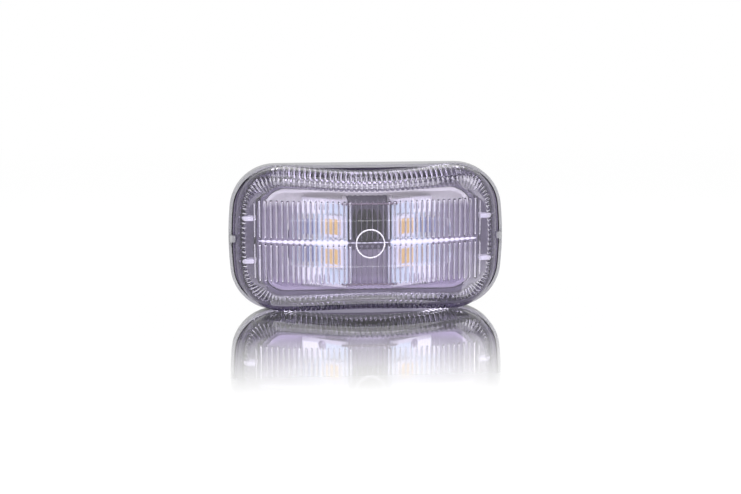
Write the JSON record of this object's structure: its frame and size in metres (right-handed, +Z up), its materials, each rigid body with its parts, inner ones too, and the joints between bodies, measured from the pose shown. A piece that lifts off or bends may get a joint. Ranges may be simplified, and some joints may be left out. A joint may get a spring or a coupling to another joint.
{
  "type": "marker lamp",
  "caption": "Compact LED marker lamp with a clear fluted lens, arched in front, held by two snap hooks in a shallow grey bracket, with a foam gasket behind.",
  "frame": {"origin": "centre of the flat rear face, where the gasket meets the vehicle's panel", "axes": "+X along the lamp's length, +Z up, +Y out of the rear face into the panel; the lens faces -Y"},
  "size_m": [0.066, 0.0174, 0.035],
  "materials": {
    "grey_plastic": "satin",
    "clear_plastic": "clear, polished",
    "housing_plastic": "satin",
    "rubber": "matt",
    "foam": "matt",
    "reflector_plastic": "satin metallised",
    "board_white": "white solder mask",
    "led_white": "matt",
    "phosphor": "glossy",
    "tinned_metal": "bright",
    "resistor_coat": "glossy",
    "black_epoxy": "satin",
    "tan_ceramic": "satin",
    "wire_enamel": "glossy"
  },
  "bodies": {
    "root": {"mounting_gasket": "foam", "mounting_bracket": "grey_plastic", "rear_housing": "housing_plastic", "housing_seal": "rubber", "cable_grommet": "rubber", "reflector": "reflector_plastic", "led_board_left": "board_white", "led_board_right": "board_white", "led_body_left_upper": "led_white", "led_body_left_lower": "led_white", "led_body_right_upper": "led_white", "led_body_right_lower": "led_white", "led_gel_left_upper": "phosphor", "led_gel_left_lower": "phosphor", "led_gel_right_upper": "phosphor", "led_gel_right_lower": "phosphor", "led_leads": "tinned_metal", "resistor_left_upper": "resistor_coat", "resistor_left_lower": "resistor_coat", "resistor_right_upper": "resistor_coat", "resistor_caps": "tinned_metal", "protection_diode": "black_epoxy", "filter_capacitor": "tan_ceramic", "link_wire_upper": "wire_enamel", "link_wire_lower": "wire_enamel", "supply_terminals": "tinned_metal", "lens_cover": "clear_plastic"}
  },
  "joints": []
}
